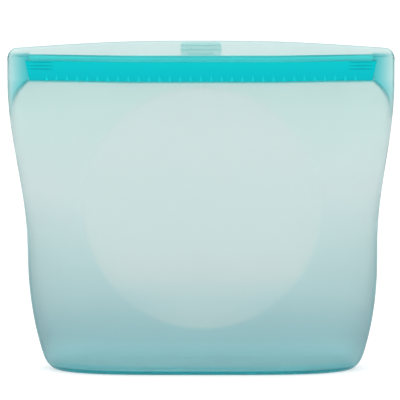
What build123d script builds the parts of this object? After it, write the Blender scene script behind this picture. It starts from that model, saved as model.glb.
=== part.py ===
"""A stand-up silicone storage bag with a press-to-close zip, in millimetres.

Frame: X runs across the bag to its right, Y from front to back, Z up. The origin is on the
surface that the bag stands on, under its middle. The front wall faces -Y.

The bag is one soft moulding that bends. It is built here as firm pieces that meet where the
silicone flexes: along the foot of each wall, and along two upright lines each side of the middle.
"""

import math
import os

from build123d import *

# ---- Overall sizes ----
base_half_width = 86.0        # half the width just above the rounded bottom edge
base_half_depth = 30.0        # half the depth there
waist_half_width = 93.0       # half the width where the sides run upright
mouth_half_width = 102.5      # half the width across the side seams at the mouth
waist_height = 66.0           # where the sides stop bulging and start to flare
zip_bottom_height = 154.2     # lower edge of both zip strips

# ---- Walls and base ----
wall_thickness = 1.4          # front, back and side walls
wall_foot_height = 10.0       # where the walls grow out of the base tray
bottom_edge_radius = 6.0      # outside round along the bottom edge
tray_thickness = 2.2          # wall and floor of the base tray
foot_contact_width = 5.0      # width of the flat ring that the bag stands on
foot_height = 0.8             # how far the floor panel stands off the surface

# ---- Mouth ----
band_thickness = 2.0          # thick band round the mouth
band_lead = 0.2               # how far the band starts below the zip strips
front_lip_rise = 3.4          # front lip's top edge above the zip strips
back_lip_rise = 5.4           # back lip's top edge above them, at its ends
crown_rise = 4.0              # how much higher the back lip is in the middle
seam_rise = 4.9               # side seams' top above the zip strips
seam_width = 9.5              # from the end of the strips to the bag's side
seam_corner_radius = 4.0      # round on the outer top corner of each seam
shoulder_drop = 2.0           # how far below the band the flare of the sides ends

# ---- Zip ----
zip_height = 10.4             # height of both strips
zip_plate_thickness = 1.0     # backing plate of each strip
jaw_height = 2.6              # upper and lower jaws of the channel
jaw_depth = 0.85              # how far the jaws stand off their plate
zip_face_clearance = 0.15     # from each closed strip's jaws to the mid-plane
bead_side_clearance = 1.0     # above and below the bead, between the jaws
bead_tip_clearance = 0.3      # from the closed bead's tip to the channel's plate
click_pitch = 5.45            # spacing of the click notches along the lower jaw
click_width = 1.2             # width of one notch
click_height = 1.5            # height of one notch
click_end_margin = 10.0       # from the end of the strip to the first notch

# ---- Pull tab on the back lip ----
tab_half_width = 11.0
tab_lead = 1.2                # tab's lower edge above the zip strips
tab_thickness = 0.8
rib_half_widths = (7.0, 10.6, 10.6)   # lowest rib first
rib_lead = 0.9                # lowest rib above the tab's lower edge
rib_spacing = 2.3
rib_height = 1.0
rib_thickness = 0.7

# ---- How far the mouth stands open, and where the walls flex ----
mouth_opening = 7.0           # each wall's stand-off from closed, in the middle of the zip
still_margin = 0.5            # the walls stop moving this far short of the strips' ends
centre_half_width = 30.0      # the middle of each wall moves as one
flank_margin = 1.25           # the flanks end this far inside the half-way line of the bend
slit = 0.3                    # clearance where two flexing pieces meet side by side
hinge_clearance = 0.4         # clearance between a moving wall's foot and the tray
bond_clearance = 0.02         # between a strip, tab or rib and what it is bonded to

# ---- Roundness of the bag's outline seen from above ----
body_squareness = 4.0         # exponent of the outline in the body
mouth_squareness = 24.0       # exponent at the mouth, where the bag is flat
squaring_length = 44.0        # the outline flattens over this height below the band

# ---- What follows from the sizes above ----
band_bottom_height = zip_bottom_height - band_lead
shoulder_height = band_bottom_height - shoulder_drop
zip_top_height = zip_bottom_height + zip_height
zip_middle_height = (zip_bottom_height + zip_top_height) / 2
seam_height = zip_top_height + seam_rise
back_lip_height = zip_top_height + back_lip_rise
zip_half_length = mouth_half_width - seam_width
still_half_width = zip_half_length - still_margin
flank_half_width = (still_half_width + centre_half_width) / 2 - flank_margin
plate_face = jaw_depth + zip_face_clearance
zip_half_depth = band_thickness + zip_plate_thickness + plate_face
bead_reach = plate_face - bead_tip_clearance
floor_top_height = foot_height + tray_thickness
foot_ring_width = bottom_edge_radius + foot_contact_width

# ---- How finely the curves are drawn ----
strip_overlap = 0.3           # how far jaws and bead run into their plate, to fuse with it
wall_sections = 6             # outlines that each wall is lofted through
points_per_span = 7           # points that a curve across one piece of wall passes through
points_round_side = 15        # points that a curve round a side wall passes through
points_round_quarter = 12     # points on each quarter of the base's outline


def ease(t):
    """0 below 0, 1 above 1, and a smooth S between."""
    t = min(max(t, 0.0), 1.0)
    return t * t * (3 - 2 * t)


def half_width(z):
    """Half the width of the bag at height z."""
    if z < waist_height:
        t = 1 - (z - wall_foot_height) / (waist_height - wall_foot_height)
        return waist_half_width - (waist_half_width - base_half_width) * t * t
    flare = ease((z - waist_height) / (shoulder_height - waist_height))
    return waist_half_width + (mouth_half_width - waist_half_width) * flare


def closed_half_depth(z):
    """Half the depth in the middle at height z, with the zip closed."""
    t = (z - wall_foot_height) / (band_bottom_height - wall_foot_height)
    return base_half_depth + (zip_half_depth - base_half_depth) * min(max(t, 0.0), 1.0)


def squareness(z):
    """Exponent of the outline at height z."""
    t = ease((z - band_bottom_height) / squaring_length + 1)
    return body_squareness + (mouth_squareness - body_squareness) * t


def stand_off(x, z):
    """How far the wall at (x, z) stands out from where it lies when the zip is closed."""
    lift = mouth_opening * (z - wall_foot_height) / (zip_middle_height - wall_foot_height)
    share = ease((still_half_width - abs(x)) / (still_half_width - centre_half_width))
    return lift * share


def wall_y(x, z, inset=0.0):
    """Distance from the mid-plane to a wall's surface, inset from the outside."""
    across = min(abs(x) / (half_width(z) - inset), 1.0)
    depth = closed_half_depth(z) - inset
    return depth * math.sqrt(1 - across ** squareness(z)) + stand_off(x, z)


def spaced(start, end, count):
    return [start + (end - start) * i / (count - 1) for i in range(count)]


def curve_across(side, x_start, x_end, depth_at):
    """Points of a curve across a wall; side is -1 for the front and 1 for the back."""
    xs = spaced(x_start, x_end, points_per_span)
    return [(x, side * depth_at(x)) for x in xs]


def outline_between(z, far, near):
    """A flat face at height z, bounded by two curves and the lines that join their ends."""
    with BuildSketch(Plane.XY.offset(z)) as outline:
        with BuildLine():
            Spline(*far)
            Line(far[-1], near[-1])
            Spline(*reversed(near))
            Line(near[0], far[0])
        make_face()
    return outline.sketch


def lofted_ribbon(side, x_start, x_end, heights, far_depth, near_depth):
    """A strip of wall. far_depth and near_depth give its two faces at (x, z)."""
    for z in heights:
        far = curve_across(side, x_start, x_end, lambda x: far_depth(x, z))
        near = curve_across(side, x_start, x_end, lambda x: near_depth(x, z))
        add(outline_between(z, far, near))
    loft(ruled=len(heights) == 2)


def face_at(closed_depth):
    """A strip's face that lies at one depth all along when the zip is closed."""
    return lambda x, z: closed_depth + stand_off(x, z)


def band_back(x, z):
    """The face of a zip strip that is bonded to the mouth band."""
    return wall_y(x, z, band_thickness) - bond_clearance


def outline_points(z, inset, x_start, sign):
    """Points round one side wall, from its front edge round the seam to its back edge."""
    a = half_width(z) - inset
    power = squareness(z)
    depth = closed_half_depth(z) - inset
    limit = math.acos((x_start / a) ** (power / 2))
    points = []
    for angle in spaced(-limit, limit, points_round_side):
        x = a * math.cos(angle) ** (2 / power)
        off = stand_off(x, z) if abs(angle) > 1e-9 else 0.0
        points.append((sign * x, depth * math.sin(angle) + math.copysign(off, angle)))
    return points


def save(piece, name):
    piece.part.label = name
    export_step(piece.part, f"parts/{name}.step")


def cut_to_crown():
    """Cuts away everything above the arched top edge of the back lip."""
    top = back_lip_height + 3 * crown_rise
    reach = mouth_half_width + 1
    with BuildSketch(Plane.XZ) as above:
        with BuildLine():
            ThreePointArc(
                (-reach, back_lip_height), (0, back_lip_height + crown_rise), (reach, back_lip_height)
            )
            Polyline(
                (reach, back_lip_height), (reach, top), (-reach, top), (-reach, back_lip_height)
            )
        make_face()
    extrude(above.sketch, amount=base_half_depth, both=True, mode=Mode.SUBTRACT)


os.makedirs("parts", exist_ok=True)

# ---- Base: a tray with a rounded bottom edge, and the floor panel inside its foot ring ----


def base_outline(z, inset=0.0):
    """A flat face at height z: the outline just above the bottom edge, brought in by inset."""
    a = base_half_width - inset
    b = base_half_depth - inset
    points = []
    for i in range(4 * points_round_quarter):
        angle = math.pi * (i + 0.5) / (2 * points_round_quarter)
        c = math.cos(angle)
        s = math.sin(angle)
        x = math.copysign(a * abs(c) ** (2 / body_squareness), c)
        points.append((x, b * s))
    with BuildSketch(Plane.XY.offset(z)) as outline:
        with BuildLine():
            Spline(*points, periodic=True)
        make_face()
    return outline.sketch


with BuildPart() as tray_hollow:
    extrude(base_outline(floor_top_height, tray_thickness), amount=wall_foot_height)
    fillet(tray_hollow.faces().sort_by(Axis.Z)[0].edges(), bottom_edge_radius - tray_thickness)

with BuildPart() as base_rim:
    extrude(base_outline(0), amount=wall_foot_height)
    fillet(base_rim.faces().sort_by(Axis.Z)[0].edges(), bottom_edge_radius)
    add(tray_hollow.part, mode=Mode.SUBTRACT)
    floor_hole = base_outline(0, foot_ring_width)
    extrude(floor_hole, amount=floor_top_height, mode=Mode.SUBTRACT)
save(base_rim, "base_rim")

with BuildPart() as base_floor:
    floor_edge = foot_ring_width + bond_clearance
    extrude(base_outline(foot_height, floor_edge), amount=tray_thickness)
save(base_floor, "base_floor")

# ---- Side walls: each bends round one side, from the front flex line to the back one ----
wall_heights = spaced(wall_foot_height, band_bottom_height, wall_sections)
side_start = flank_half_width + slit / 2

for side_name, sign in (("left", -1), ("right", 1)):
    with BuildPart() as side_wall:
        for z in wall_heights:
            outside = outline_points(z, 0, side_start, sign)
            inside = outline_points(z, wall_thickness, side_start, sign)
            add(outline_between(z, outside, inside))
        loft()
    save(side_wall, f"{side_name}_side_wall")

# ---- Front and back walls, mouth bands and zip strips, piece by piece across the bag ----
spans = {
    "left_end": (-zip_half_length, -flank_half_width - slit / 2),
    "left": (-flank_half_width + slit / 2, -centre_half_width - slit / 2),
    "centre": (-centre_half_width + slit / 2, centre_half_width - slit / 2),
    "right": (centre_half_width + slit / 2, flank_half_width - slit / 2),
    "right_end": (flank_half_width + slit / 2, zip_half_length),
}
moving_heights = spaced(wall_foot_height + hinge_clearance, band_bottom_height, wall_sections)
lip_heights = {"front": zip_top_height + front_lip_rise, "back": back_lip_height + 2 * crown_rise}
click_count = int(2 * (zip_half_length - click_end_margin) / click_pitch) + 1

for wall_name, side in (("front", -1), ("back", 1)):
    for span_name, (x_start, x_end) in spans.items():
        if not span_name.endswith("_end"):
            with BuildPart() as wall:
                lofted_ribbon(
                    side, x_start, x_end, moving_heights,
                    wall_y, lambda x, z: wall_y(x, z, wall_thickness),
                )
            save(wall, f"{wall_name}_wall_{span_name}")

        with BuildPart() as band:
            lofted_ribbon(
                side, x_start, x_end, (band_bottom_height, lip_heights[wall_name]),
                wall_y, lambda x, z: wall_y(x, z, band_thickness),
            )
            if wall_name == "back":
                cut_to_crown()
        save(band, f"{wall_name}_band_{span_name}")

        with BuildPart() as strip:
            lofted_ribbon(
                side, x_start, x_end, (zip_bottom_height, zip_top_height),
                band_back, face_at(plate_face),
            )
            if wall_name == "front":
                for jaw_bottom in (zip_bottom_height, zip_top_height - jaw_height):
                    lofted_ribbon(
                        side, x_start, x_end, (jaw_bottom, jaw_bottom + jaw_height),
                        face_at(plate_face + strip_overlap), face_at(zip_face_clearance),
                    )
                for i in range(click_count):
                    x = click_pitch * (i - (click_count - 1) / 2)
                    if x_start + click_width < x < x_end - click_width:
                        notch_y = -face_at(plate_face / 2)(x, zip_bottom_height)
                        with Locations((x, notch_y, zip_bottom_height)):
                            Box(click_width, plate_face, 2 * click_height, mode=Mode.SUBTRACT)
            else:
                bead_bottom = zip_bottom_height + jaw_height + bead_side_clearance
                bead_top = zip_top_height - jaw_height - bead_side_clearance
                lofted_ribbon(
                    side, x_start, x_end, (bead_bottom, bead_top),
                    face_at(plate_face + strip_overlap), face_at(-bead_reach),
                )
        strip_name = "zip_channel" if wall_name == "front" else "zip_rail"
        save(strip, f"{strip_name}_{span_name}")

# ---- Side seams: where front and back bands and both zip strips are welded together ----
for side_name, sign in (("left", -1), ("right", 1)):
    with BuildPart() as seam:
        for z in (band_bottom_height, seam_height):
            outside = outline_points(z, 0, zip_half_length, sign)
            with BuildSketch(Plane.XY.offset(z)):
                with BuildLine():
                    Spline(*outside)
                    Line(outside[-1], outside[0])
                make_face()
        loft(ruled=True)
        corner_x = sign * mouth_half_width
        inner_x = sign * (mouth_half_width - seam_corner_radius)
        corner_z = seam_height - seam_corner_radius
        bend = seam_corner_radius * (1 - math.sqrt(0.5))
        with BuildSketch(Plane.XZ):
            with BuildLine():
                ThreePointArc(
                    (corner_x, corner_z),
                    (corner_x - sign * bend, seam_height - bend),
                    (inner_x, seam_height),
                )
                Polyline(
                    (inner_x, seam_height), (inner_x, seam_height + 1),
                    (corner_x + sign, seam_height + 1), (corner_x + sign, corner_z),
                    (corner_x, corner_z),
                )
            make_face()
        extrude(amount=base_half_depth, both=True, mode=Mode.SUBTRACT)
    save(seam, f"{side_name}_zip_end")

# ---- Pull tab: a thick patch on the inner face of the back lip, with grip ribs ----
tab_back = zip_half_depth - band_thickness - bond_clearance
tab_face = tab_back - tab_thickness
tab_bottom_height = zip_top_height + tab_lead
with BuildPart() as pull_tab:
    lofted_ribbon(
        1, -tab_half_width, tab_half_width, (tab_bottom_height, lip_heights["back"]),
        face_at(tab_back), face_at(tab_face),
    )
    cut_to_crown()
save(pull_tab, "pull_tab")

with BuildPart() as pull_tab_ribs:
    for i, rib_half_width in enumerate(rib_half_widths):
        rib_bottom = tab_bottom_height + rib_lead + i * rib_spacing
        lofted_ribbon(
            1, -rib_half_width, rib_half_width, (rib_bottom, rib_bottom + rib_height),
            face_at(tab_face - bond_clearance), face_at(tab_face - bond_clearance - rib_thickness),
        )
save(pull_tab_ribs, "pull_tab_ribs")
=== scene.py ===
# %% [markdown]
# # A reusable silicone bag, built around its frame
# The real bag is one soft moulding of frosted silicone with two teal zip strips set into its mouth.
# The frame holds its sizes, its bodies and its joints. Here every visible piece is made again as a
# smooth mesh, in metres, and the base tray and the pull tab's pads are told which body they move with.

# %% Load the frame
import math

import bmesh
import bpy
import numpy as np
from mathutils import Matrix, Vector


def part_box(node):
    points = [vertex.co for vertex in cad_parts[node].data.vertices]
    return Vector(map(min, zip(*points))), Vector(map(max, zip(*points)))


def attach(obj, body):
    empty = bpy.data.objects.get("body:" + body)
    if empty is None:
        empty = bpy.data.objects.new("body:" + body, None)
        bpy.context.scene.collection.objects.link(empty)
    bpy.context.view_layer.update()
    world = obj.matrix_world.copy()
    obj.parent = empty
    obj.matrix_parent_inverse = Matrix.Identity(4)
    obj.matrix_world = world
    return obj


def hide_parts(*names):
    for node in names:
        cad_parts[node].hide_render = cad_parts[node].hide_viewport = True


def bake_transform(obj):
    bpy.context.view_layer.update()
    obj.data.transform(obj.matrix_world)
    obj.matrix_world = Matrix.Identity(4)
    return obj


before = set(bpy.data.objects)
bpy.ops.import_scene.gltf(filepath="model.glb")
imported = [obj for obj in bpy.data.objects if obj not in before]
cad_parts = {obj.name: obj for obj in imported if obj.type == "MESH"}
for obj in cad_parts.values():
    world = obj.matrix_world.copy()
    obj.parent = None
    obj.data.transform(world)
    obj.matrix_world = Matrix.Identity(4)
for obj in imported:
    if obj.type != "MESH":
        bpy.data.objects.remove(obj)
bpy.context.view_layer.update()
MM = 0.001

# %% [markdown]
# ## Sizes from the frame
# Heights, widths and depths are read from the boxes of the frame's nodes, so the looks follow the
# design if it changes. Only finer shapes, such as the round panel in each wall, have their own sizes.

# %% Read the main sizes
mouth_half_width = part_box("right_zip_end")[1].x
base_half_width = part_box("base_rim")[1].x
base_half_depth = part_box("base_rim")[1].y
foot_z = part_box("base_rim")[1].z
band_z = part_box("front_band_centre")[0].z
front_lip_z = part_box("front_band_centre")[1].z
crown_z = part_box("back_band_centre")[1].z
zip_low_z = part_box("zip_channel_centre")[0].z
zip_high_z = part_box("zip_channel_centre")[1].z
zip_end_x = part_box("zip_channel_right_end")[1].x
print(
    "mouth", round(2 * mouth_half_width, 4), "base", round(2 * base_half_width, 4),
    "crown", round(crown_z, 4),
)

# %% Sizes of the soft shapes
waist_half_width = 93.0 * MM
waist_z = 66.0 * MM
base_curve = 2.4
shoulder_z = band_z - 2.0 * MM
crown_rise = 3.4 * MM
crown_power = 2.3
seam_corner_radius = 4.0 * MM
wall_thickness = 1.4 * MM
band_thickness = 2.0 * MM
foot_thickness = 2.2 * MM
zip_half_depth = 4.0 * MM
mouth_opening = 7.0 * MM
centre_half_width = 30.0 * MM
still_half_width = zip_end_x - 0.5 * MM
body_squareness = 4.0
mouth_squareness = 24.0
squaring_length = 44.0 * MM
joint_gap = 0.01 * MM
sideways_lean = 1.3 * MM


# %% [markdown]
# ## The outline of the bag
# Seen from above, the bag is a rounded rectangle at its base that flattens into two straight lips at
# the mouth. One formula, a superellipse, covers both: its exponent says how square the outline is.
# The mouth stands a little open, which adds a smooth bulge to the middle of each wall.

# %% Outline formulas
def ease(t):
    """0 below 0, 1 above 1, and a smooth S between."""
    t = np.clip(t, 0.0, 1.0)
    return t * t * (3 - 2 * t)


def half_width(z):
    """Half the width of the bag at height z."""
    bulge = 1 - np.clip((z - foot_z) / (waist_z - foot_z), 0, 1)
    lower = waist_half_width - (waist_half_width - base_half_width) * bulge**base_curve
    flare = ease((z - waist_z) / (shoulder_z - waist_z))
    return lower + (mouth_half_width - waist_half_width) * flare


def closed_half_depth(z):
    """Half the depth in the middle at height z, with the zip closed."""
    t = np.clip((z - foot_z) / (band_z - foot_z), 0, 1)
    return base_half_depth + (zip_half_depth - base_half_depth) * t


def squareness(z):
    """Exponent of the outline at height z."""
    share = ease((z - band_z) / squaring_length + 1)
    return body_squareness + (mouth_squareness - body_squareness) * share


def stand_off(x, z):
    """How far the wall at (x, z) stands out from where it lies when the zip is closed."""
    zip_middle = (zip_low_z + zip_high_z) / 2
    lift = mouth_opening * (z - foot_z) / (zip_middle - foot_z)
    return lift * ease((still_half_width - np.abs(x)) / (still_half_width - centre_half_width))


def wall_depth(x, z):
    """Distance from the mid-plane to the outside of the wall at (x, z)."""
    across = np.clip(np.abs(x) / half_width(z), 0, 1)
    return closed_half_depth(z) * np.sqrt(1 - across ** squareness(z)) + stand_off(x, z)


def lean(z):
    """How far the bag leans sideways at height z. A soft bag doesn't stand quite true below its zip."""
    return sideways_lean * (1 - ease(z / band_z))


for z in (foot_z, waist_z, band_z):
    width, depth = float(half_width(z)), float(wall_depth(0, z))
    print("height", round(z, 4), "half width", round(width, 4), "depth", round(depth, 4))

# %% [markdown]
# ## Colours and nodes
# Colours are written as sRGB hex, the way a colour picker shows them, and Blender's shaders want linear
# values, so one function turns the first into the second. One more adds a node, sets it and links it.

# %% Colour and node helpers
def colour(hex_code):
    """An sRGB hex colour as the linear RGBA that shaders use."""
    channels = [int(hex_code[i : i + 2], 16) / 255 for i in (0, 2, 4)]
    return [c / 12.92 if c <= 0.04045 else ((c + 0.055) / 1.055) ** 2.4 for c in channels] + [1.0]


def add_node(tree, kind, settings=None, values=None, links=None):
    """Adds a node. values are set on its inputs; links go from other nodes' outputs to its inputs."""
    node = tree.nodes.new(kind)
    for key, value in (settings or {}).items():
        setattr(node, key, value)
    for key, value in (values or {}).items():
        node.inputs[key].default_value = value
    for key, source in (links or {}).items():
        tree.links.new(source, node.inputs[key])
    return node


def new_material(name):
    """An empty node material, with its tree."""
    material = bpy.data.materials.new(name)
    material.use_nodes = True
    material.node_tree.nodes.clear()
    return material, material.node_tree


def show(tree, shader):
    """Links a shader node to the material's output."""
    add_node(tree, "ShaderNodeOutputMaterial", links={"Surface": shader.outputs["BSDF"]})


# %% [markdown]
# ## Camera
# A product shot of a thin, pale bag is taken from far away with a long lens, a little above the middle
# of the bag. The lens is worked out from how wide a slice of the world the frame has to hold there.

# %% Camera
look_at = Vector((-0.5 * MM, 0.0, 90.0 * MM))
camera_elevation = math.radians(7.0)
camera_distance = 3.0
view_width = 212.4 * MM

camera_data = bpy.data.cameras.new("camera")
camera_data.sensor_width = 36.0
camera_data.lens = camera_data.sensor_width * camera_distance / view_width
camera_data.clip_end = 50.0
camera = bpy.data.objects.new("camera", camera_data)
camera_direction = Vector((0, -math.cos(camera_elevation), math.sin(camera_elevation)))
camera.location = look_at + camera_distance * camera_direction
camera.rotation_euler = (math.pi / 2 - camera_elevation, 0.0, 0.0)
bpy.context.scene.collection.objects.link(camera)
bpy.context.scene.camera = camera
bpy.context.scene.view_settings.view_transform = "Standard"
print("lens", round(camera_data.lens, 1), "mm")

# %% [markdown]
# ## Light table and softbox
# Clear and frosted things are often shot on a light table: a sheet of white acrylic that glows from
# below, so that light comes through the object and it throws almost no shadow. A white world stands in
# for the studio's walls, and one large softbox overhead gives the lips and edges their soft gloss.

# %% Light table, world and softbox
table_glow = 0.58
table_half_size = 6.0
table_gap = 0.05 * MM

world = bpy.data.worlds.new("studio")
world.use_nodes = True
world.node_tree.nodes["Background"].inputs["Color"].default_value = (1, 1, 1, 1)
world.node_tree.nodes["Background"].inputs["Strength"].default_value = 1.0
bpy.context.scene.world = world

acrylic, tree = new_material("white_acrylic_light_table")
show(tree, add_node(tree, "ShaderNodeBsdfPrincipled", values={
    "Base Color": colour("BEBEBE"), "Roughness": 0.9,
    "Emission Color": (1, 1, 1, 1), "Emission Strength": table_glow,
}))
table_corners = [
    (x * table_half_size, y * table_half_size, -table_gap)
    for x, y in ((-1, -1), (1, -1), (1, 1), (-1, 1))
]
table_mesh = bpy.data.meshes.new("light_table")
table_mesh.from_pydata(table_corners, [], [(0, 1, 2, 3)])
table_mesh.materials.append(acrylic)
light_table = bpy.data.objects.new("light_table", table_mesh)
bpy.context.scene.collection.objects.link(light_table)

softbox_data = bpy.data.lights.new("overhead_softbox", "AREA")
softbox_data.size = 2.0
softbox_data.energy = 10.0
softbox = bpy.data.objects.new("overhead_softbox", softbox_data)
softbox.location = (0, -0.3, 2.2)
softbox.rotation_euler = (look_at - softbox.location).to_track_quat("-Z", "Y").to_euler()
bpy.context.scene.collection.objects.link(softbox)

# %% [markdown]
# ## Frosted silicone
# The bag is moulded in translucent silicone rubber with a bead-blasted, frosted surface. Light goes
# through it and is scattered on the way, so it is a rough glass with silicone's refractive index.
# Its colour follows a ramp along the height: deepest a little above the foot, palest halfway up, and
# a touch deeper again towards the lips. It also looks deeper where pigment from the zip has bled into it,
# and where an edge is seen end on, so that more of it lies in the line of sight; these are attributes
# painted on the mesh by formulas. A thin bright line under each strip is a painted highlight, carried by
# the same attributes. The mould's blasted grain is a fine bump. Real blasting is about 0.05 mm across,
# too fine to show, so it is drawn 0.6 mm across here.

# %% Frosted silicone
grain_size = 0.6 * MM
cloud_size = 25.0 * MM
frost_roughness = 0.35
silicone_ior = 1.41
silicone_clearness = 0.85
frost_specular = 0.2
grain_strength = 0.15
grain_depth = 0.05 * MM
haze_range = (0.3, 0.7)
haze_most = 0.06
haze_hex = "B9D9DA"
height_colours = (
    (0, "B6F2F4"), (5.5, "C6EBEE"), (20, "C0DDE0"), (38, "D2E7E8"), (52, "D9EBEB"), (66, "DFEFEF"),
    (95, "EAF4F4"), (140, "E5F5F3"), (155, "E1F3F1"), (163, "DBEDEA"), (174, "D7EBEA"),
)
wing_bleed_hex = "16BEC3"
# Bright cyan: the zip's pigment in the lips, and the painted highlight line under the strips.
lip_bleed_and_highlight_hex = "08FFFF"
panel_colours = (
    (0, "B9D5D6"), (25, "E0EBE9"), (38, "D8EAEB"), (52, "E5EFEE"), (70, "E6F2F1"), (120, "E9F4F3"),
    (174, "E6F2F1"),
)
edge_colours = (
    (0, "00B4C2"), (4, "00B4C2"), (12, "0CA2AD"), (45, "3CB0B8"), (90, "84C8CB"), (174, "9CC8C8"),
)


def height_ramp(tree, height, stops):
    """A colour that follows the height. stops are pairs of height in mm and colour."""
    top = stops[-1][0]
    share = add_node(
        tree, "ShaderNodeMath", {"operation": "DIVIDE"}, {1: top * MM}, {0: height.outputs["Z"]}
    )
    ramp = add_node(tree, "ShaderNodeValToRGB", links={"Fac": share.outputs["Value"]})
    elements = ramp.color_ramp.elements
    while len(elements) < len(stops):
        elements.new(1.0)
    for element, (mm, hex_code) in zip(elements, stops):
        element.position = mm / top
        element.color = colour(hex_code)
    return ramp.outputs["Color"]


def mix_colour(tree, share, first, second):
    """first where share is 0 and second where it is 1. Each may be a socket or a hex colour."""
    mix = add_node(tree, "ShaderNodeMix", {"data_type": "RGBA"}, links={0: share})
    for socket, value in ((6, first), (7, second)):
        if isinstance(value, str):
            mix.inputs[socket].default_value = colour(value)
        else:
            tree.links.new(value, mix.inputs[socket])
    return mix.outputs[2]


def frosted_silicone(name):
    """Translucent silicone as it leaves a bead-blasted mould."""
    material, tree = new_material(name)
    place = add_node(tree, "ShaderNodeTexCoord").outputs["Object"]
    height = add_node(tree, "ShaderNodeSeparateXYZ", links={"Vector": place})
    body = height_ramp(tree, height, height_colours)
    edge = height_ramp(tree, height, edge_colours)
    shares = {
        attribute: add_node(tree, "ShaderNodeAttribute", {"attribute_name": attribute}).outputs["Fac"]
        for attribute in ("panel", "edge", "wing_bleed", "lip_bleed_and_highlight")
    }
    cloud = add_node(
        tree, "ShaderNodeTexNoise", values={"Scale": 1 / cloud_size, "Detail": 1.0},
        links={"Vector": place},
    )
    haze = add_node(
        tree, "ShaderNodeMapRange",
        values={"From Min": haze_range[0], "From Max": haze_range[1], "To Min": 0.0, "To Max": haze_most},
        links={"Value": cloud.outputs["Fac"]},
    )
    body = mix_colour(tree, haze.outputs["Result"], body, haze_hex)
    body = mix_colour(tree, shares["panel"], body, height_ramp(tree, height, panel_colours))
    body = mix_colour(tree, shares["edge"], body, edge)
    # Pigment in the lips, and the painted highlight line under the strips.
    body = mix_colour(tree, shares["lip_bleed_and_highlight"], body, lip_bleed_and_highlight_hex)
    body = mix_colour(tree, shares["wing_bleed"], body, wing_bleed_hex)
    grain = add_node(
        tree, "ShaderNodeTexNoise", values={"Scale": 1 / grain_size, "Detail": 2.0},
        links={"Vector": place},
    )
    bump = add_node(
        tree, "ShaderNodeBump", values={"Strength": grain_strength, "Distance": grain_depth},
        links={"Height": grain.outputs["Fac"]},
    )
    show(tree, add_node(
        tree, "ShaderNodeBsdfPrincipled",
        values={
            "Roughness": frost_roughness, "IOR": silicone_ior, "Specular IOR Level": frost_specular,
            "Transmission Weight": silicone_clearness,
        },
        links={"Base Color": body, "Normal": bump.outputs["Normal"]},
    ))
    return material


wall_silicone = frosted_silicone("frosted_moulded_silicone")
print("frosted silicone:", len(wall_silicone.node_tree.nodes), "nodes")

# %% [markdown]
# ## Joints inside the silicone
# The bag is one piece, but its mesh is cut where its parts bend differently. The cut faces lie inside
# the solid silicone, so they get a material that can't be seen, and the parts read as one.

# %% Invisible cut faces
cut_face, tree = new_material("cut_inside_the_silicone")
show(tree, add_node(tree, "ShaderNodeBsdfPrincipled", values={"Alpha": 0.0, "Specular IOR Level": 0.0}))

# %% [markdown]
# ## Pigmented silicone
# The zip strips are moulded first, in silicone filled with teal pigment, and the frosted silicone is
# moulded on round them. Pigment stops the light, so the strips are solid in colour with a soft satin
# gloss. They are a little deeper along their lower edge, and their moulded surface has a faint ripple.

# %% Pigmented silicone
ripple_size = 2.5 * MM
ripple_strength = 0.1
ripple_depth = 0.1 * MM
strip_roughness = 0.45
strip_specular = 0.08
strip_colours = (
    (0, "00A8AE"), (154.0, "02ADB2"), (155.2, "00B6BE"), (159.0, "00BAC3"), (163.8, "00C0C5"),
    (166.0, "00B6BA"),
)
# The click ribs are lighter than the strips: a painted highlight on the raised ribs.
click_rib_highlight_colours = ((0, "14CCD1"), (154.0, "14CCD1"), (158.0, "03C0C7"))


def pigmented_silicone(name, stops):
    """Opaque silicone, coloured all through."""
    material, tree = new_material(name)
    place = add_node(tree, "ShaderNodeTexCoord").outputs["Object"]
    height = add_node(tree, "ShaderNodeSeparateXYZ", links={"Vector": place})
    ripple = add_node(
        tree, "ShaderNodeTexNoise", values={"Scale": 1 / ripple_size}, links={"Vector": place}
    )
    bump = add_node(
        tree, "ShaderNodeBump", values={"Strength": ripple_strength, "Distance": ripple_depth},
        links={"Height": ripple.outputs["Fac"]},
    )
    show(tree, add_node(
        tree, "ShaderNodeBsdfPrincipled",
        values={
            "Roughness": strip_roughness, "IOR": silicone_ior, "Specular IOR Level": strip_specular,
        },
        links={"Base Color": height_ramp(tree, height, stops), "Normal": bump.outputs["Normal"]},
    ))
    return material


strip_silicone = pigmented_silicone("pigmented_moulded_silicone", strip_colours)
click_rib_highlight_silicone = pigmented_silicone("click_ribs_painted_highlight", click_rib_highlight_colours)


# %% [markdown]
# ## Making solid meshes
# Each piece is worked out as rows of points and turned into a closed mesh. Then its doubled points are
# welded, its faces are turned outwards and its shading is smoothed, except across sharp edges and
# along the cut faces, so that a cut leaves no dark line.

# %% Mesh helpers
wall_slot, cut_slot = 0, 1


def make_object(name, points, faces, material_numbers, materials):
    """A mesh object from points and faces, with a material slot number for each face."""
    mesh = bpy.data.meshes.new(name)
    places = np.array([tuple(p) for p in points])
    places[:, 0] += lean(places[:, 2])
    mesh.from_pydata(places.tolist(), [], faces)
    for material in materials:
        mesh.materials.append(material)
    if material_numbers:
        mesh.polygons.foreach_set("material_index", material_numbers)
    mesh.update()
    piece = bpy.data.objects.new(name, mesh)
    bpy.context.scene.collection.objects.link(piece)
    return piece


def tube_faces(rings, count, first=0):
    """Faces of a closed tube: rings of count points each, from the point numbered first, and two ends."""
    faces = []
    for r in range(rings - 1):
        for k in range(count):
            a, b = first + r * count + k, first + r * count + (k + 1) % count
            faces.append((a, b, b + count, a + count))
    last = first + (rings - 1) * count
    return faces + [tuple(range(first, first + count)), tuple(range(last, last + count))]


def add_shares(piece, shares):
    """Stores named numbers on the points, for the materials to read."""
    for name, values in shares.items():
        layer = piece.data.attributes.new(name, "FLOAT", "POINT")
        layer.data.foreach_set("value", np.asarray(values, dtype=np.float32).reshape(-1))


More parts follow.
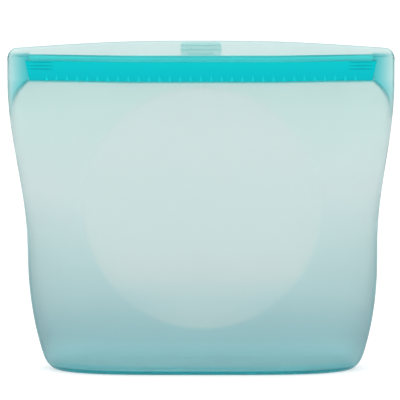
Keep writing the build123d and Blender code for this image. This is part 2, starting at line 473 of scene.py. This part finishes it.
def tidy_shell(piece, weld=1e-6, sharp_degrees=40):
    """Welds doubled points, turns the faces outwards and smooths all but the sharp edges."""
    bm = bmesh.new()
    bm.from_mesh(piece.data)
    bmesh.ops.remove_doubles(bm, verts=bm.verts, dist=weld)
    bmesh.ops.recalc_face_normals(bm, faces=bm.faces)
    for face in bm.faces:
        face.smooth = True
    for edge in bm.edges:
        slots = {face.material_index for face in edge.link_faces}
        edge.smooth = len(slots) == 1 and edge.calc_face_angle(0) < math.radians(sharp_degrees)
    open_edges = sum(1 for edge in bm.edges if len(edge.link_faces) != 2)
    bm.to_mesh(piece.data)
    bm.free()
    print(piece.name, len(piece.data.polygons), "faces,", open_edges, "open edges")


# %% [markdown]
# ## The walls
# The front and back walls, the side walls and the thick band round the mouth are one skin. It is swept
# upwards as a ring: at each height, a row of points runs along the outside and back along the inside.
# It is made in four quarters, because a wall's middle leans out when the bag opens while its sides stay
# still, and a mesh can be bent between only two bodies at a time.
#
# First come the shapes that vary along it. The lips' top edges bow upwards. The web is the solid corner
# beside the zip, where front and back are fused, with a curved inner edge that runs down into the side.

# %% Lips and webs
wing_length = 20.0 * MM
wing_curve = 2.4
wing_inset = 2.2 * MM
web_slope = 0.8 * MM
web_foot_fade = 3.0 * MM


def top_height(side, x):
    """Height of the lip's top edge at x. side is -1 for the front and 1 for the back."""
    x = np.abs(x)
    lip = crown_z - crown_rise * (x / mouth_half_width) ** crown_power if side > 0 else front_lip_z
    into_corner = np.clip(x - (mouth_half_width - seam_corner_radius), 0, seam_corner_radius)
    return lip - (seam_corner_radius - np.sqrt(seam_corner_radius**2 - into_corner**2))


def web_edge(z):
    """Distance from the middle to the inner edge of the web at height z."""
    start = zip_end_x - wing_inset
    below = np.clip((band_z - z) / wing_length, 0, 1)
    return start + (half_width(z) - wall_thickness - start) * (1 - (1 - below) ** wing_curve)


def web_share(side, x, z):
    """1 where front and back are one solid web beside the zip, 0 where the bag is hollow."""
    web = ease((np.abs(x) - web_edge(z)) / web_slope) * ease((z - band_z + wing_length) / web_foot_fade)
    return web * ease((front_lip_z - z) / MM) if side > 0 else web


# %% [markdown]
# Next come the finer marks of the mould: a large round panel that is sunk into each wall, where the
# silicone is thinner and paler, the bleed of pigment round the zip, and the edges seen end on. A thin
# bright line under each strip is a painted highlight.

# %% Panel, pigment bleed, painted highlight line and edges
panel_radius = 63.0 * MM
panel_centre_z = 88.0 * MM
panel_depth = 0.35 * MM
panel_step = 2.0 * MM
bleed_length = 13.0 * MM
front_lip_bleed = 0.84
back_lip_bleed = 0.5
lip_end_bleed = 0.35
lip_end_start = 35.0 * MM
lip_end_length = 50.0 * MM
# The painted highlight line under the strips: its share, and how far below the band it sits.
highlight_line_share = 0.6
highlight_line_drop = 0.1 * MM
wing_least = 0.3
wing_gain = 0.67
wing_falloff = 1.6
bleed_fade = 2.0 * MM
lip_bleed_end = 1.5 * MM
line_fade = 0.8 * MM
side_edge_width = 4.0 * MM
side_fade_z = waist_z + 60 * MM
side_edge_least = 0.35
side_edge_gain = 0.55
lip_edge_shares = {-1: 0.2, 1: 0.85}


def panel_share(x, z):
    """1 inside the sunk round panel, 0 outside it."""
    return ease((panel_radius - np.hypot(x, z - panel_centre_z)) / panel_step + 0.5)


def above_strip(z):
    """1 above the strip and 0 below. It rises behind the strip, so no pale line shows along its edge."""
    return ease((z - zip_high_z) / line_fade + 1.2)


def wing_bleed(side, x, z):
    """How much of the zip's pigment shows in the web beside its end, and deepens the front lip's ends."""
    past = np.abs(x) - web_edge(z)
    web_width = half_width(z) - web_edge(z)
    low = ease((z - band_z + 1.1 * wing_length) / (1.2 * wing_length))
    reach = np.where(z < band_z, 1.2 * web_width, bleed_length)
    spread = 1 - np.clip(past / reach, 0, 1) ** wing_falloff
    wing = ease(past / line_fade + 0.5) * spread * (wing_least + wing_gain * low)
    wing *= ease((z - band_z + wing_length) / bleed_fade) * ease((front_lip_z + 1 * MM - z) / bleed_fade)
    if side > 0:
        return wing
    lip_end = lip_end_bleed * ease((np.abs(x) - lip_end_start) / lip_end_length) * above_strip(z)
    return np.maximum(wing, lip_end * (past < 0.5 * MM))


def lip_bleed_and_highlight(side, x, z):
    """How much of the zip's pigment shows in the lips above the strips, plus a painted highlight line under
    them.
    """
    past = np.abs(x) - web_edge(z)
    if side < 0:
        lip = front_lip_bleed * above_strip(z)
    else:
        lip = back_lip_bleed * ease((zip_high_z + bleed_fade - z) / bleed_fade)
        lip = lip * ease((z - zip_low_z) / (0.5 * MM))
    # A thin line of bright cyan just under the strip is a painted highlight.
    highlight_line = highlight_line_share * ease(1.2 - np.abs(z - band_z + highlight_line_drop) / line_fade)
    return np.maximum(lip * ease(1 - past / lip_bleed_end), highlight_line * (past < 0))


def side_share(inward, z):
    """How much the skin is seen end on, a distance inward from its side at height z."""
    fade = side_edge_least + side_edge_gain * ease((side_fade_z - z) / side_fade_z)
    return ease(1 - inward / (side_edge_width * fade)) * fade


def edge_share(side, x, z):
    """How much the silicone at (x, z) is seen end on: at the sides and along the lips."""
    sides = side_share(half_width(z) - np.abs(x), z)
    lips = lip_edge_shares[side] * ease(1 - (top_height(side, x) - z) / line_fade)
    return np.maximum(sides, lips)


# %% [markdown]
# Now the sweep itself. Points are closer together near the sides, where the skin turns, and near the
# zip, where the marks are fine. The inside is the outside moved in by the thickness, and at the web it
# is pulled to the mid-plane, where it becomes a cut face.

# %% Sweep one quarter of the skin
columns = 140
body_row_count = 105
band_row_count = 34
rounding_steps = 6
foot_blend = 50.0 * MM
band_step = 1.5 * MM
fully_fused = 0.999
body_top_z = band_z - 4.0 * MM


def skin_rows(side, across):
    """Rows of the sweep: the height at each column, and the share of the thickness left."""
    top = top_height(side, mouth_half_width * across)
    lip_round = band_thickness / 2
    body_heights = np.linspace(foot_z + joint_gap, body_top_z, body_row_count)
    rows = [(np.full_like(across, z), 1.0) for z in body_heights]
    for t in np.linspace(0, 1, band_row_count)[1:]:
        rows.append((body_top_z + (top - lip_round - body_top_z) * t, 1.0))
    for angle in np.linspace(0, math.pi / 2, rounding_steps + 1)[1:]:
        rows.append((top - lip_round + lip_round * math.sin(angle), math.cos(angle)))
    return rows


def skin_row(side, across, z, left):
    """Outside and inside points of one row, in one quarter, as (x, depth) pairs, and the web's share."""
    x = half_width(z) * across
    depth = closed_half_depth(z) * np.sqrt(1 - across ** squareness(z)) + stand_off(x, z)
    along_x, along_depth = np.gradient(x), np.gradient(depth)
    along_x[-1], along_depth[-1] = 0.0, -1.0
    along_x[0], along_depth[0] = 1.0, 0.0
    length = np.hypot(along_x, along_depth)
    out_x, out_depth = -along_depth / length, along_x / length
    foot = ease(1 - (z - foot_z) / foot_blend)
    band = ease((z - band_z) / band_step + 0.5)
    thick = wall_thickness + (foot_thickness - wall_thickness) * foot
    thick = thick + (band_thickness - wall_thickness) * band
    web = web_share(side, x, z)
    sunk = panel_depth * panel_share(x, z)
    outside = np.stack([x - sunk * out_x, depth - sunk * out_depth])
    inside = np.stack([x - thick * out_x, np.maximum(depth - thick * out_depth, 0) * (1 - web)])
    middle = (outside + inside) / 2
    return middle + (outside - middle) * left, middle + (inside - middle) * left, web


def make_skin_quarter(name, side, hand):
    """One quarter of the skin. side is -1 for the front, hand is -1 for the left."""
    across = np.sin(np.linspace(0, 1, columns + 1) * math.pi / 2)
    points, webs = [], []
    shares = {"panel": [], "edge": [], "wing_bleed": [], "lip_bleed_and_highlight": []}
    for z, left in skin_rows(side, across):
        outside, inside, web = skin_row(side, across, z, left)
        ring = np.concatenate([outside, inside[:, ::-1]], 1)
        ring_z = np.concatenate([z, z[::-1]])
        ring_x = half_width(ring_z) * np.concatenate([across, across[::-1]])
        points.append(np.stack([
            hand * np.maximum(ring[0], joint_gap), side * np.maximum(ring[1], joint_gap), ring_z,
        ], 1))
        shares["panel"].append(panel_share(ring_x, ring_z))
        shares["edge"].append(edge_share(side, ring_x, ring_z))
        shares["wing_bleed"].append(wing_bleed(side, ring_x, ring_z))
        shares["lip_bleed_and_highlight"].append(lip_bleed_and_highlight(side, ring_x, ring_z))
        webs.append(web[::-1] > fully_fused)
    points = np.array(points)
    rows, count = points.shape[:2]
    faces, numbers = [], []
    for r in range(rows - 1):
        for c in range(count):
            d = (c + 1) % count
            a, b = r * count, (r + 1) * count
            faces.append((a + c, a + d, b + d, b + c))
            k = c - columns - 1
            pair = slice(k, k + 2)
            below_lip = points[r + 1, c, 2] < front_lip_z - band_thickness / 2
            fused = 0 <= k < columns and webs[r][pair].all() and webs[r + 1][pair].all()
            hidden = c == count - 1 or (below_lip and (c == columns or fused))
            numbers.append(cut_slot if hidden else wall_slot)
    for c in range(columns):
        faces.append((c, c + 1, count - 2 - c, count - 1 - c))
        numbers.append(cut_slot)
    piece = make_object(name, points.reshape(-1, 3), faces, numbers, (wall_silicone, cut_face))
    add_shares(piece, shares)
    tidy_shell(piece)
    return piece


# %% [markdown]
# Each quarter stands for the frame's solids there, which are hidden.

# %% Make the four quarters
walls = (("front", -1), ("back", 1))
halves = (("left", -1), ("right", 1))

for wall, side in walls:
    for half, hand in halves:
        piece = make_skin_quarter(f"{wall}_skin_{half}", side, hand)
        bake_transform(piece)
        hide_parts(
            f"{wall}_wall_{half}", f"{wall}_band_{half}", f"{wall}_band_{half}_end",
            f"{wall}_wall_centre", f"{wall}_band_centre", f"{half}_side_wall", f"{half}_zip_end",
        )

# %% [markdown]
# ## The base
# The bag stands on a shallow tray: a rounded rim that carries on from the walls, a flat foot ring, and
# a floor panel held just off the table. It is a stack of outlines, down the outside, in under the
# floor, and back up the inside, so that the whole tray is one closed shell.

# %% Profile of the tray
outline_count = 280
outside_level_count = 20
side_lean = 3.3 * MM
side_round = 3.5 * MM
foot_round = 4.0 * MM
foot_ring_width = 5.0 * MM
foot_ring_z = 0.8 * MM
floor_top_z = 3.0 * MM
floor_rings = 8
foot_line = 2.4 * MM
foot_line_fade = 0.7 * MM
foot_ring_shares = (1.0, 0.3)


def base_sizes(z):
    """Half the width and half the depth of the tray's outside at height z."""
    down = 1 - z / foot_z
    low = np.clip(1 - z / foot_round, 0, 1)
    width = base_half_width - side_lean * down - side_round * down**4
    return width, base_half_depth - foot_round * (1 - math.sqrt(1 - low**2))


outside_levels = [(0.0, z) for z in np.linspace(foot_z - joint_gap, 0.3 * MM, outside_level_count)]
outside_levels += [(0.25 * MM, 0.0)]
under_levels = [(foot_ring_width, 0.0), (foot_ring_width + 0.6 * MM, foot_ring_z)]
inside_levels = [
    (5.5 * MM, floor_top_z), (3.9 * MM, 3.4 * MM), (2.9 * MM, 4.3 * MM), (2.35 * MM, 5.8 * MM),
    (foot_thickness, 7.5 * MM), (foot_thickness, foot_z - joint_gap),
]
print("tray levels:", len(outside_levels) + len(under_levels) + len(inside_levels))


# %% Outlines of the tray
tray_angles = np.linspace(0, 2 * math.pi, outline_count, endpoint=False)


def tray_ring(inset, z, shrink=1.0):
    """One outline of the tray, as points."""
    half_x, half_y = base_sizes(z)
    c, s = np.cos(tray_angles), np.sin(tray_angles)
    x = shrink * (half_x - inset) * np.sign(c) * np.abs(c) ** (2 / body_squareness)
    return np.stack([x, shrink * (half_y - inset) * s, np.full_like(x, z)], 1)


def tray_side_share(z):
    """How much an outline of the tray, as wide as at height z, is seen end on at its sides."""
    inward = base_sizes(z)[0] * (1 - np.abs(np.cos(tray_angles)) ** (2 / body_squareness))
    return side_share(inward, foot_z)


def tray_share(z):
    """How much an outside outline is seen end on: at its sides and along the foot."""
    return np.maximum(tray_side_share(z), ease(1 - (z - foot_line) / foot_line_fade))


# %% Make the tray
rings = [tray_ring(*level) for level in outside_levels + under_levels]
deep = [tray_share(z) for _, z in outside_levels]
deep += [np.full(outline_count, share) for share in foot_ring_shares]
shrinks = np.linspace(1, 0, floor_rings + 1)[1:-1]
rings += [tray_ring(*under_levels[-1], shrink) for shrink in shrinks]
first_centre = len(rings)
rings += [tray_ring(*inside_levels[0], shrink) for shrink in shrinks[::-1]]
rings += [tray_ring(*level) for level in inside_levels]
deep += [np.zeros(outline_count)] * (len(rings) - len(deep) - len(inside_levels))
deep += [
    tray_side_share(foot_z) * ease((z - floor_top_z) / (foot_z - floor_top_z))
    for _, z in inside_levels
]
points = np.concatenate(rings)
faces, numbers = [], []
for r in range(len(rings)):
    if r == first_centre - 1:
        continue
    n = (r + 1) % len(rings)
    for k in range(outline_count):
        m = (k + 1) % outline_count
        a, b = r * outline_count, n * outline_count
        faces.append((a + k, a + m, b + m, b + k))
        numbers.append(cut_slot if n == 0 else wall_slot)
centres = [(0, 0, foot_ring_z), (0, 0, floor_top_z)]
for i, r in enumerate((first_centre - 1, first_centre)):
    for k in range(outline_count):
        m = (k + 1) % outline_count
        faces.append((r * outline_count + k, r * outline_count + m, len(points) + i))
        numbers.append(wall_slot)
base_points = np.concatenate([points, centres])
tray = make_object("base_tray", base_points, faces, numbers, (wall_silicone, cut_face))
add_shares(tray, {"edge": np.concatenate(deep + [[0, 0]])})
tidy_shell(tray)
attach(tray, "root")
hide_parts("base_rim", "base_floor")

# %% [markdown]
# ## The zip strips
# The front strip is a channel with two jaws, and the back strip has a bead that presses in between
# them. The lower jaw is notched, so that the bead clicks past each notch as a thumb runs along it.
# Each strip is swept along its lip: its profile goes round the section once, and the jaw's profile
# has extra points that drop into the plate at every notch. The strips' outer faces are flush with the
# band, a hair proud of it, so their colour shows clean.

# %% Profiles of the strips
plate_back = zip_half_depth - band_thickness
plate_face = 1.0 * MM
jaw_face = 0.15 * MM
jaw_height = 2.6 * MM
bead_reach = 0.7 * MM
bead_gap = 1.0 * MM
strip_proud = 0.06 * MM
strip_round = 0.04 * MM
end_slant = 2.2 * MM
under_lift = 0.7 * MM
click_pitch = 5.45 * MM
click_width = 1.2 * MM
click_height = 1.5 * MM
click_margin = 10.0 * MM
strip_station_count = 90

click_count = int(2 * (zip_end_x - click_margin) / click_pitch) + 1
click_places = click_pitch * (np.arange(click_count) - (click_count - 1) / 2)
click_places = click_places[click_places > -click_width / 2]


def strip_profile(strip, x):
    """The strip's section at x, as pairs of depth from the closed mid-plane and height. None is outside."""
    low, high = zip_low_z, zip_high_z
    outer = [(None, low + strip_round), (None, high - strip_round)]
    if strip == "zip_rail":
        return outer + [
            (plate_back, high), (plate_face, high), (plate_face, high - jaw_height - bead_gap),
            (-bead_reach, high - jaw_height - bead_gap), (-bead_reach, low + jaw_height + bead_gap),
            (plate_face, low + jaw_height + bead_gap), (plate_face, low + under_lift),
            (plate_back, low + joint_gap),
        ]
    notched = np.any(np.abs(x - click_places) < click_width / 2)
    notch_face = plate_face if notched else jaw_face
    return outer + [
        (plate_back, high), (jaw_face, high), (jaw_face, high - jaw_height), (plate_face, high - jaw_height),
        (plate_face, low + jaw_height), (jaw_face, low + jaw_height), (jaw_face, low + click_height),
        (notch_face, low + click_height - joint_gap), (notch_face, low + under_lift),
        (plate_back, low + joint_gap),
    ]


def strip_stations(strip):
    """Distances along the strip where its section is worked out."""
    stations = list(np.linspace(0, zip_end_x, strip_station_count))
    if strip == "zip_channel":
        for place in click_places:
            for edge in (-1, 1):
                stations += [place + edge * (click_width / 2 + gap) for gap in (-joint_gap, joint_gap)]
    return np.array(sorted(x for x in stations if x >= 0))


def make_strip_half(name, strip, side, hand):
    """One half of a strip, as a solid swept along its lip."""
    stations = strip_stations(strip)
    sections = []
    for x in stations:
        section = []
        for depth, z in strip_profile(strip, x):
            slant = 1 - end_slant / zip_end_x * (zip_high_z - z) / (zip_high_z - zip_low_z)
            place = x * slant
            if depth is None:
                depth = float(wall_depth(place, z)) + strip_proud
            else:
                depth = depth + float(stand_off(place, z))
            section.append((hand * place, side * depth, z))
        sections.append(section)
    faces = tube_faces(len(sections), len(sections[0]))
    piece = make_object(name, np.array(sections).reshape(-1, 3), faces, None, (strip_silicone,))
    tidy_shell(piece, weld=1e-8, sharp_degrees=30)
    return piece


# %% Make the strips
for (wall, side), strip in zip(walls, ("zip_channel", "zip_rail")):
    for half, hand in halves:
        piece = make_strip_half(f"{strip}_{half}_half", strip, side, hand)
        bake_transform(piece)
        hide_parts(f"{strip}_{half}", f"{strip}_{half}_end", f"{strip}_centre")

# %% [markdown]
# ## Click ribs, with Geometry Nodes
# Along the lower edge of each strip's outer face stands a row of small wedges, wide at the foot and
# narrow at the top, one for each notch. A row of the same thing along a line is what Geometry Nodes are
# for: the line is resampled to a count of points, a cone stands on each point, flattened against the
# face, and the tree ends by making the cones real and giving them their material.

# %% Tree for a row of click ribs
def click_rib_tree():
    """Geometry Nodes that stand flattened cones along a line."""
    tree = bpy.data.node_groups.new("click_rib_row", "GeometryNodeTree")
    sockets = (
        ("Count", "NodeSocketInt"), ("Rib radius", "NodeSocketFloat"), ("Rib height", "NodeSocketFloat"),
        ("Flatness", "NodeSocketFloat"), ("Finish", "NodeSocketMaterial"),
    )
    tree.interface.new_socket("Geometry", in_out="INPUT", socket_type="NodeSocketGeometry")
    for name, kind in sockets:
        tree.interface.new_socket(name, in_out="INPUT", socket_type=kind)
    tree.interface.new_socket("Geometry", in_out="OUTPUT", socket_type="NodeSocketGeometry")
    given = add_node(tree, "NodeGroupInput").outputs
    line = add_node(tree, "GeometryNodeMeshToCurve", links={"Mesh": given["Geometry"]})
    spaced = add_node(
        tree, "GeometryNodeResampleCurve", {"mode": "COUNT"},
        links={"Curve": line.outputs["Curve"], "Count": given["Count"]},
    )
    cone = add_node(
        tree, "GeometryNodeMeshCone", {"fill_type": "NGON"},
        {"Vertices": 12, "Side Segments": 3, "Radius Top": 0.0001},
        {"Radius Bottom": given["Rib radius"], "Depth": given["Rib height"]},
    )
    tangent = add_node(tree, "GeometryNodeInputTangent")
    turn = add_node(
        tree, "FunctionNodeAlignEulerToVector", {"axis": "X", "pivot_axis": "Z"},
        links={"Vector": tangent.outputs["Tangent"]},
    )
    squash = add_node(
        tree, "ShaderNodeCombineXYZ", values={"X": 1.0, "Z": 1.0}, links={"Y": given["Flatness"]}
    )
    stood = add_node(tree, "GeometryNodeInstanceOnPoints", links={
        "Points": spaced.outputs["Curve"], "Instance": cone.outputs["Mesh"],
        "Rotation": turn.outputs["Rotation"], "Scale": squash.outputs["Vector"],
    })
    real = add_node(tree, "GeometryNodeRealizeInstances", links={"Geometry": stood.outputs["Instances"]})
    smooth = add_node(tree, "GeometryNodeSetShadeSmooth", links={"Geometry": real.outputs["Geometry"]})
    finish = add_node(
        tree, "GeometryNodeSetMaterial",
        links={"Geometry": smooth.outputs["Geometry"], "Material": given["Finish"]},
    )
    add_node(tree, "NodeGroupOutput", links={"Geometry": finish.outputs["Geometry"]})
    return tree


rib_tree = click_rib_tree()
print("click rib tree:", len(rib_tree.nodes), "nodes")

# %% [markdown]
# A modifier's inputs are set by their identifiers. The result is then taken as a plain mesh and the
# modifier goes.

# %% Grow the ribs on both strips
rib_radius = 0.85 * MM
rib_height = 3.6 * MM
rib_flatness = 0.3


def set_inputs(modifier, values):
    """Sets a Geometry Nodes modifier's inputs by the names shown in its panel."""
    for item in modifier.node_group.interface.items_tree:
        if item.in_out == "INPUT" and item.name in values:
            modifier[item.identifier] = values[item.name]


def grow_ribs(name, side, hand):
    """One row of click ribs along the lower edge of a strip's outer face."""
    foot = zip_low_z + 0.02 * MM
    places = click_places[click_places > (0 if hand > 0 else -1)]
    line = [(hand * x, side * float(wall_depth(x, foot) + strip_proud), foot) for x in places]
    mesh = bpy.data.meshes.new(name)
    mesh.from_pydata(line, [(i, i + 1) for i in range(len(line) - 1)], [])
    piece = bpy.data.objects.new(name, mesh)
    bpy.context.scene.collection.objects.link(piece)
    modifier = piece.modifiers.new("ribs", "NODES")
    modifier.node_group = rib_tree
    set_inputs(modifier, {
        "Count": len(line), "Rib radius": rib_radius, "Rib height": rib_height,
        "Flatness": rib_flatness, "Finish": click_rib_highlight_silicone,
    })
    evaluated = piece.evaluated_get(bpy.context.evaluated_depsgraph_get())
    plain = bpy.data.meshes.new_from_object(evaluated)
    piece.modifiers.clear()
    piece.data = plain
    for vertex in plain.vertices:
        x, z = vertex.co.x, vertex.co.z
        vertex.co.y += side * float(wall_depth(x, z) - wall_depth(x, foot))
    print(name, len(line), "ribs,", len(plain.polygons), "faces")
    return piece


for wall, side in walls:
    for half, hand in halves:
        piece = grow_ribs(f"{wall}_click_ribs_{half}", side, hand)
        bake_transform(piece)

# %% [markdown]
# ## End ridges
# Near each end of a strip three fine ridges run along its upper half, where the mould's inserts for the
# bead and the jaws end. They are thin half-sunk tubes that taper to nothing at both ends, in a darker
# teal that is painted shade.

# %% Make the end ridges
ridge_radius = 0.28 * MM
ridge_heights = (0.7 * MM, 2.5 * MM, 4.3 * MM)
ridge_start = 78.0 * MM
ridge_end = zip_end_x - 1.0 * MM
ridge_flatness = 0.6
ridge_stations = 24
ridge_turns = 8
ridge_tip = 0.05
# The ridges' darker teal is painted shade, for the dark lines they show along the strip.
ridge_shade_colours = ((0, "00A2AA"), (166.0, "00A2AA"))
ridge_shade_silicone = pigmented_silicone("end_ridges_painted_shade", ridge_shade_colours)


def make_end_ridges(name, side, hand):
    """The three ridges near one end of a strip, as one piece."""
    points, faces = [], []
    for below in ridge_heights:
        first = len(points)
        for t in np.linspace(0, 1, ridge_stations):
            x = ridge_start + (ridge_end - ridge_start) * t
            taper = math.sin(math.pi * min(t + 0.02, 0.98)) ** 0.5
            radius = ridge_radius * max(taper, ridge_tip)
            for k in range(ridge_turns):
                turn = 2 * math.pi * k / ridge_turns
                z = zip_high_z - below + radius * math.sin(turn)
                depth = float(wall_depth(x, z)) + strip_proud + radius * ridge_flatness * math.cos(turn)
                points.append((hand * x, side * depth, z))
        faces += tube_faces(ridge_stations, ridge_turns, first)
    piece = make_object(name, points, faces, None, (ridge_shade_silicone,))
    tidy_shell(piece, weld=1e-8)
    return piece


for wall, side in walls:
    for half, hand in halves:
        piece = make_end_ridges(f"{wall}_end_ridges_{half}", side, hand)
        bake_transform(piece)

# %% [markdown]
# ## The pull tab
# In the middle of the back lip is a thicker patch with three grip ribs, so that a thumb can find it and
# part the lips. Patch and ribs are pads: rounded bars that lie against the inside of the lip and follow
# its bow. They are grown into the lip a little, because on the real bag they are one with it.

# %% Make a pad on the inside of the back lip
pad_columns = 40
pad_turns = 24
tab_half_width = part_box("pull_tab")[1].x
tab_low_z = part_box("pull_tab")[0].z
tab_face = plate_back - 0.8 * MM
rib_lead = 0.9 * MM
rib_spacing = 2.3 * MM
grip_rib_height = 1.0 * MM
grip_rib_reach = 0.7 * MM
grip_rib_half_widths = (7.0 * MM, 10.6 * MM, 10.6 * MM)
tab_corner = 1.5 * MM
tab_top_gap = 0.5 * MM
grip_rib_corner = 0.5 * MM
pad_sink = 0.2 * MM
pad_bleed = 0.28
thinnest_end = 0.02


def squarish(v):
    """Makes a circle's sine or cosine squarer, for a section with rounded corners."""
    return math.copysign(abs(v) ** 0.5, v)


def pad_end(u, pad_half_width, corner):
    """1 along a pad, and a quarter circle down to nearly 0 at its ends. u goes from -1 to 1."""
    into_corner = max(0.0, (abs(u) - 1) * pad_half_width / corner + 1)
    return max(math.sqrt(max(0.0, 1 - into_corner**2)), thinnest_end)


def make_pad(name, pad_half_width, low, high, face, back, corner, edge):
    """A rounded bar on the lip's inside, from depth face to depth back. high may follow the lip's top."""
    rounding = np.linspace(0, 2 * math.pi, pad_turns, endpoint=False)
    along = np.sin(np.linspace(-1, 1, pad_columns) * math.pi / 2)
    points = []
    for u in along:
        end = pad_end(u, pad_half_width, corner)
        x = u * pad_half_width
        top = high if high is not None else float(top_height(1, x)) - tab_top_gap
        middle_z, half_z = (low + top) / 2, (top - low) / 2
        for turn in rounding:
            z = middle_z + half_z * squarish(math.sin(turn)) * end
            share = 0.5 + 0.5 * squarish(math.cos(turn)) * end
            depth = back + (face - back) * share
            points.append((x, depth + float(stand_off(x, z)), z))
    grown_in = [math.cos(turn + math.pi / pad_turns) < 0 for turn in rounding]
    numbers = [cut_slot if hidden else wall_slot for hidden in grown_in] * (pad_columns - 1)
    numbers += [wall_slot, wall_slot]
    faces = tube_faces(pad_columns, pad_turns)
    piece = make_object(name, points, faces, numbers, (wall_silicone, cut_face))
    shares = {"panel": 1, "edge": edge, "lip_bleed_and_highlight": pad_bleed}
    add_shares(piece, {key: np.full(len(points), share) for key, share in shares.items()})
    tidy_shell(piece, weld=1e-7)
    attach(piece, "back_centre")
    return piece


tab = make_pad(
    "pull_tab_patch", tab_half_width, tab_low_z, None, tab_face, plate_back + pad_sink, tab_corner, 0.0
)
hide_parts("pull_tab")
for i, rib_half_width in enumerate(grip_rib_half_widths):
    low = tab_low_z + rib_lead + i * rib_spacing
    rib = make_pad(
        f"pull_tab_rib_{i + 1}", rib_half_width, low, low + grip_rib_height,
        tab_face - grip_rib_reach, tab_face + pad_sink, grip_rib_corner, 0.1,
    )
    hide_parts("pull_tab_ribs")
